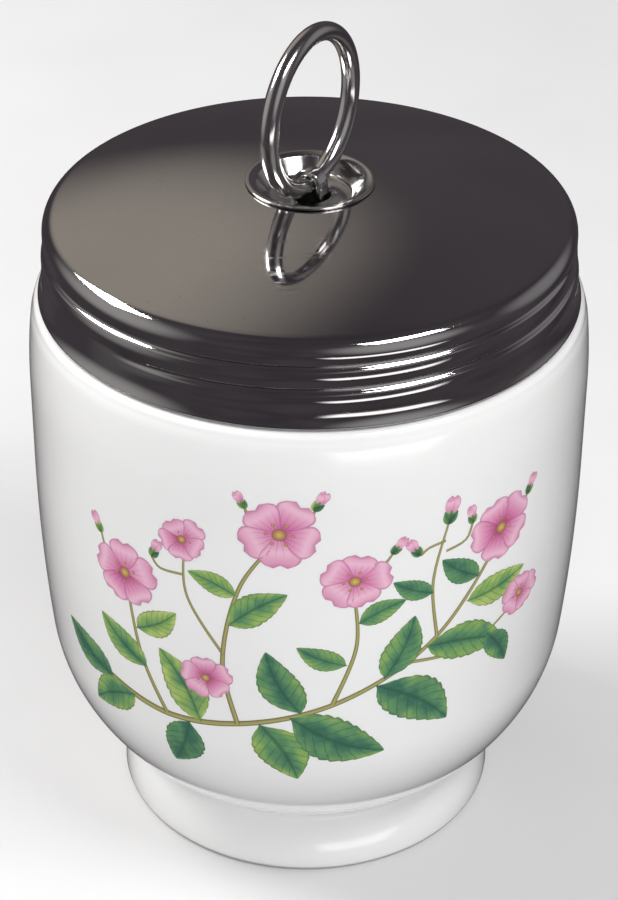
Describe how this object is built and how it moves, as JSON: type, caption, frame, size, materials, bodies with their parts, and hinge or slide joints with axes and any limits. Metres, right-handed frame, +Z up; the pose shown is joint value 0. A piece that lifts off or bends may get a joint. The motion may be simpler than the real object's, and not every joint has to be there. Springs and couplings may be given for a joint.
{
  "type": "egg_coddler",
  "caption": "Footed porcelain egg coddler with a threaded neck, closed by a pressed metal screw lid with a hinged lift ring in its dished centre",
  "frame": {"origin": "middle of the foot's resting plane, at the bottom centre of the bounding box", "axes": "+Z up along the screw axis, which is also the longest extent; -Y is the printed front of the cup, +X is the viewer's right when facing the front"},
  "size_m": [0.073, 0.073, 0.1131],
  "materials": {
    "porcelain": "white hard-paste porcelain under a clear gloss glaze, with an on-glaze printed botanical band on the side that faces -Y",
    "polished_steel": "mirror-polished pressed sheet with fine wear scratches",
    "plate_steel": "polished, dished and slightly worn",
    "eye_steel": "polished strip, duller in the bend",
    "ring_steel": "polished round wire"
  },
  "bodies": {
    "cup": {"cup": "porcelain"},
    "lid_centre": {"escutcheon": "plate_steel"},
    "lid": {"lid_shell": "polished_steel", "ring_eye": "eye_steel"},
    "ring": {"lift_ring": "ring_steel"}
  },
  "joints": [
    {"name": "lid_rise", "type": "slide", "parent": "cup", "child": "lid_centre", "axis": [0, 0, 1], "range_m": [0, 0.012]},
    {"name": "lid_turn", "type": "hinge", "parent": "lid_centre", "child": "lid", "pos_m": [0, 0, 0.0905], "axis": [0, 0, 1], "range_deg": [0, 1440]},
    {"name": "ring_swing", "type": "hinge", "parent": "lid", "child": "ring", "pos_m": [0, 0, 0.09187], "axis": [0.5, 0.866, 0], "range_deg": [-40, 40]}
  ],
  "couplings": [
    {"joint": "lid_rise", "follows": "lid_turn", "m_per_rad": 0.00047746}
  ]
}
